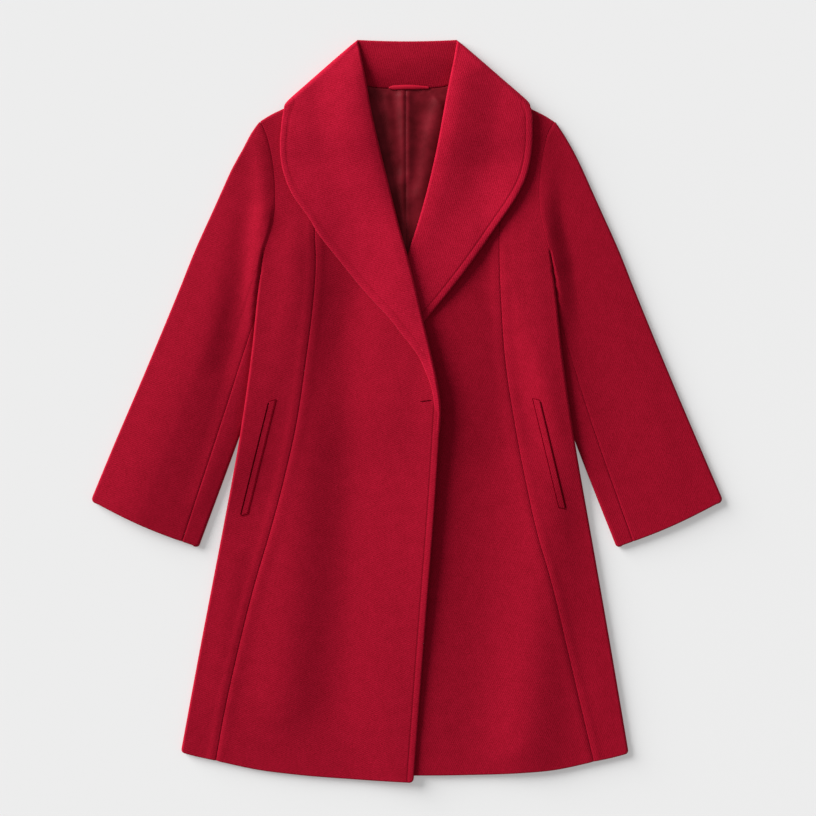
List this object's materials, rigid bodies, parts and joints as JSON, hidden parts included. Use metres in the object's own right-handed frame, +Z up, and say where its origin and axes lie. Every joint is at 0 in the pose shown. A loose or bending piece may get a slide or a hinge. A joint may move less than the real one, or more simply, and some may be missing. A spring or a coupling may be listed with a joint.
{
  "type": "shawl collar coat",
  "caption": "Knee-length wool coat with a wide shawl collar, flared skirt, two-piece sleeves and slanted welt pockets, laid flat on its back.",
  "frame": {"origin": "middle of the bounding box in plan, on the surface that the coat lies on", "axes": "+Y along the length towards the collar, +X towards the wearer's left sleeve, +Z up through the layers"},
  "size_m": [0.8532, 1.0002, 0.0206],
  "materials": {
    "wool": "felted crimson wool coating, soft and matt",
    "lining_satin": "burgundy satin lining, smooth and softly shining"
  },
  "bodies": {
    "root": {"back": "wool", "front_right_centre": "wool", "front_left_centre": "wool", "front_right_side": "wool", "front_left_side": "wool", "sleeve_right_top": "wool", "sleeve_left_top": "wool", "sleeve_right_under": "wool", "sleeve_left_under": "wool", "collar_right": "wool", "collar_left": "wool", "collar_back": "wool", "pocket_welt_right": "wool", "pocket_welt_left": "wool", "lining_right": "lining_satin", "lining_left": "lining_satin", "hanger_loop": "lining_satin"}
  },
  "joints": []
}
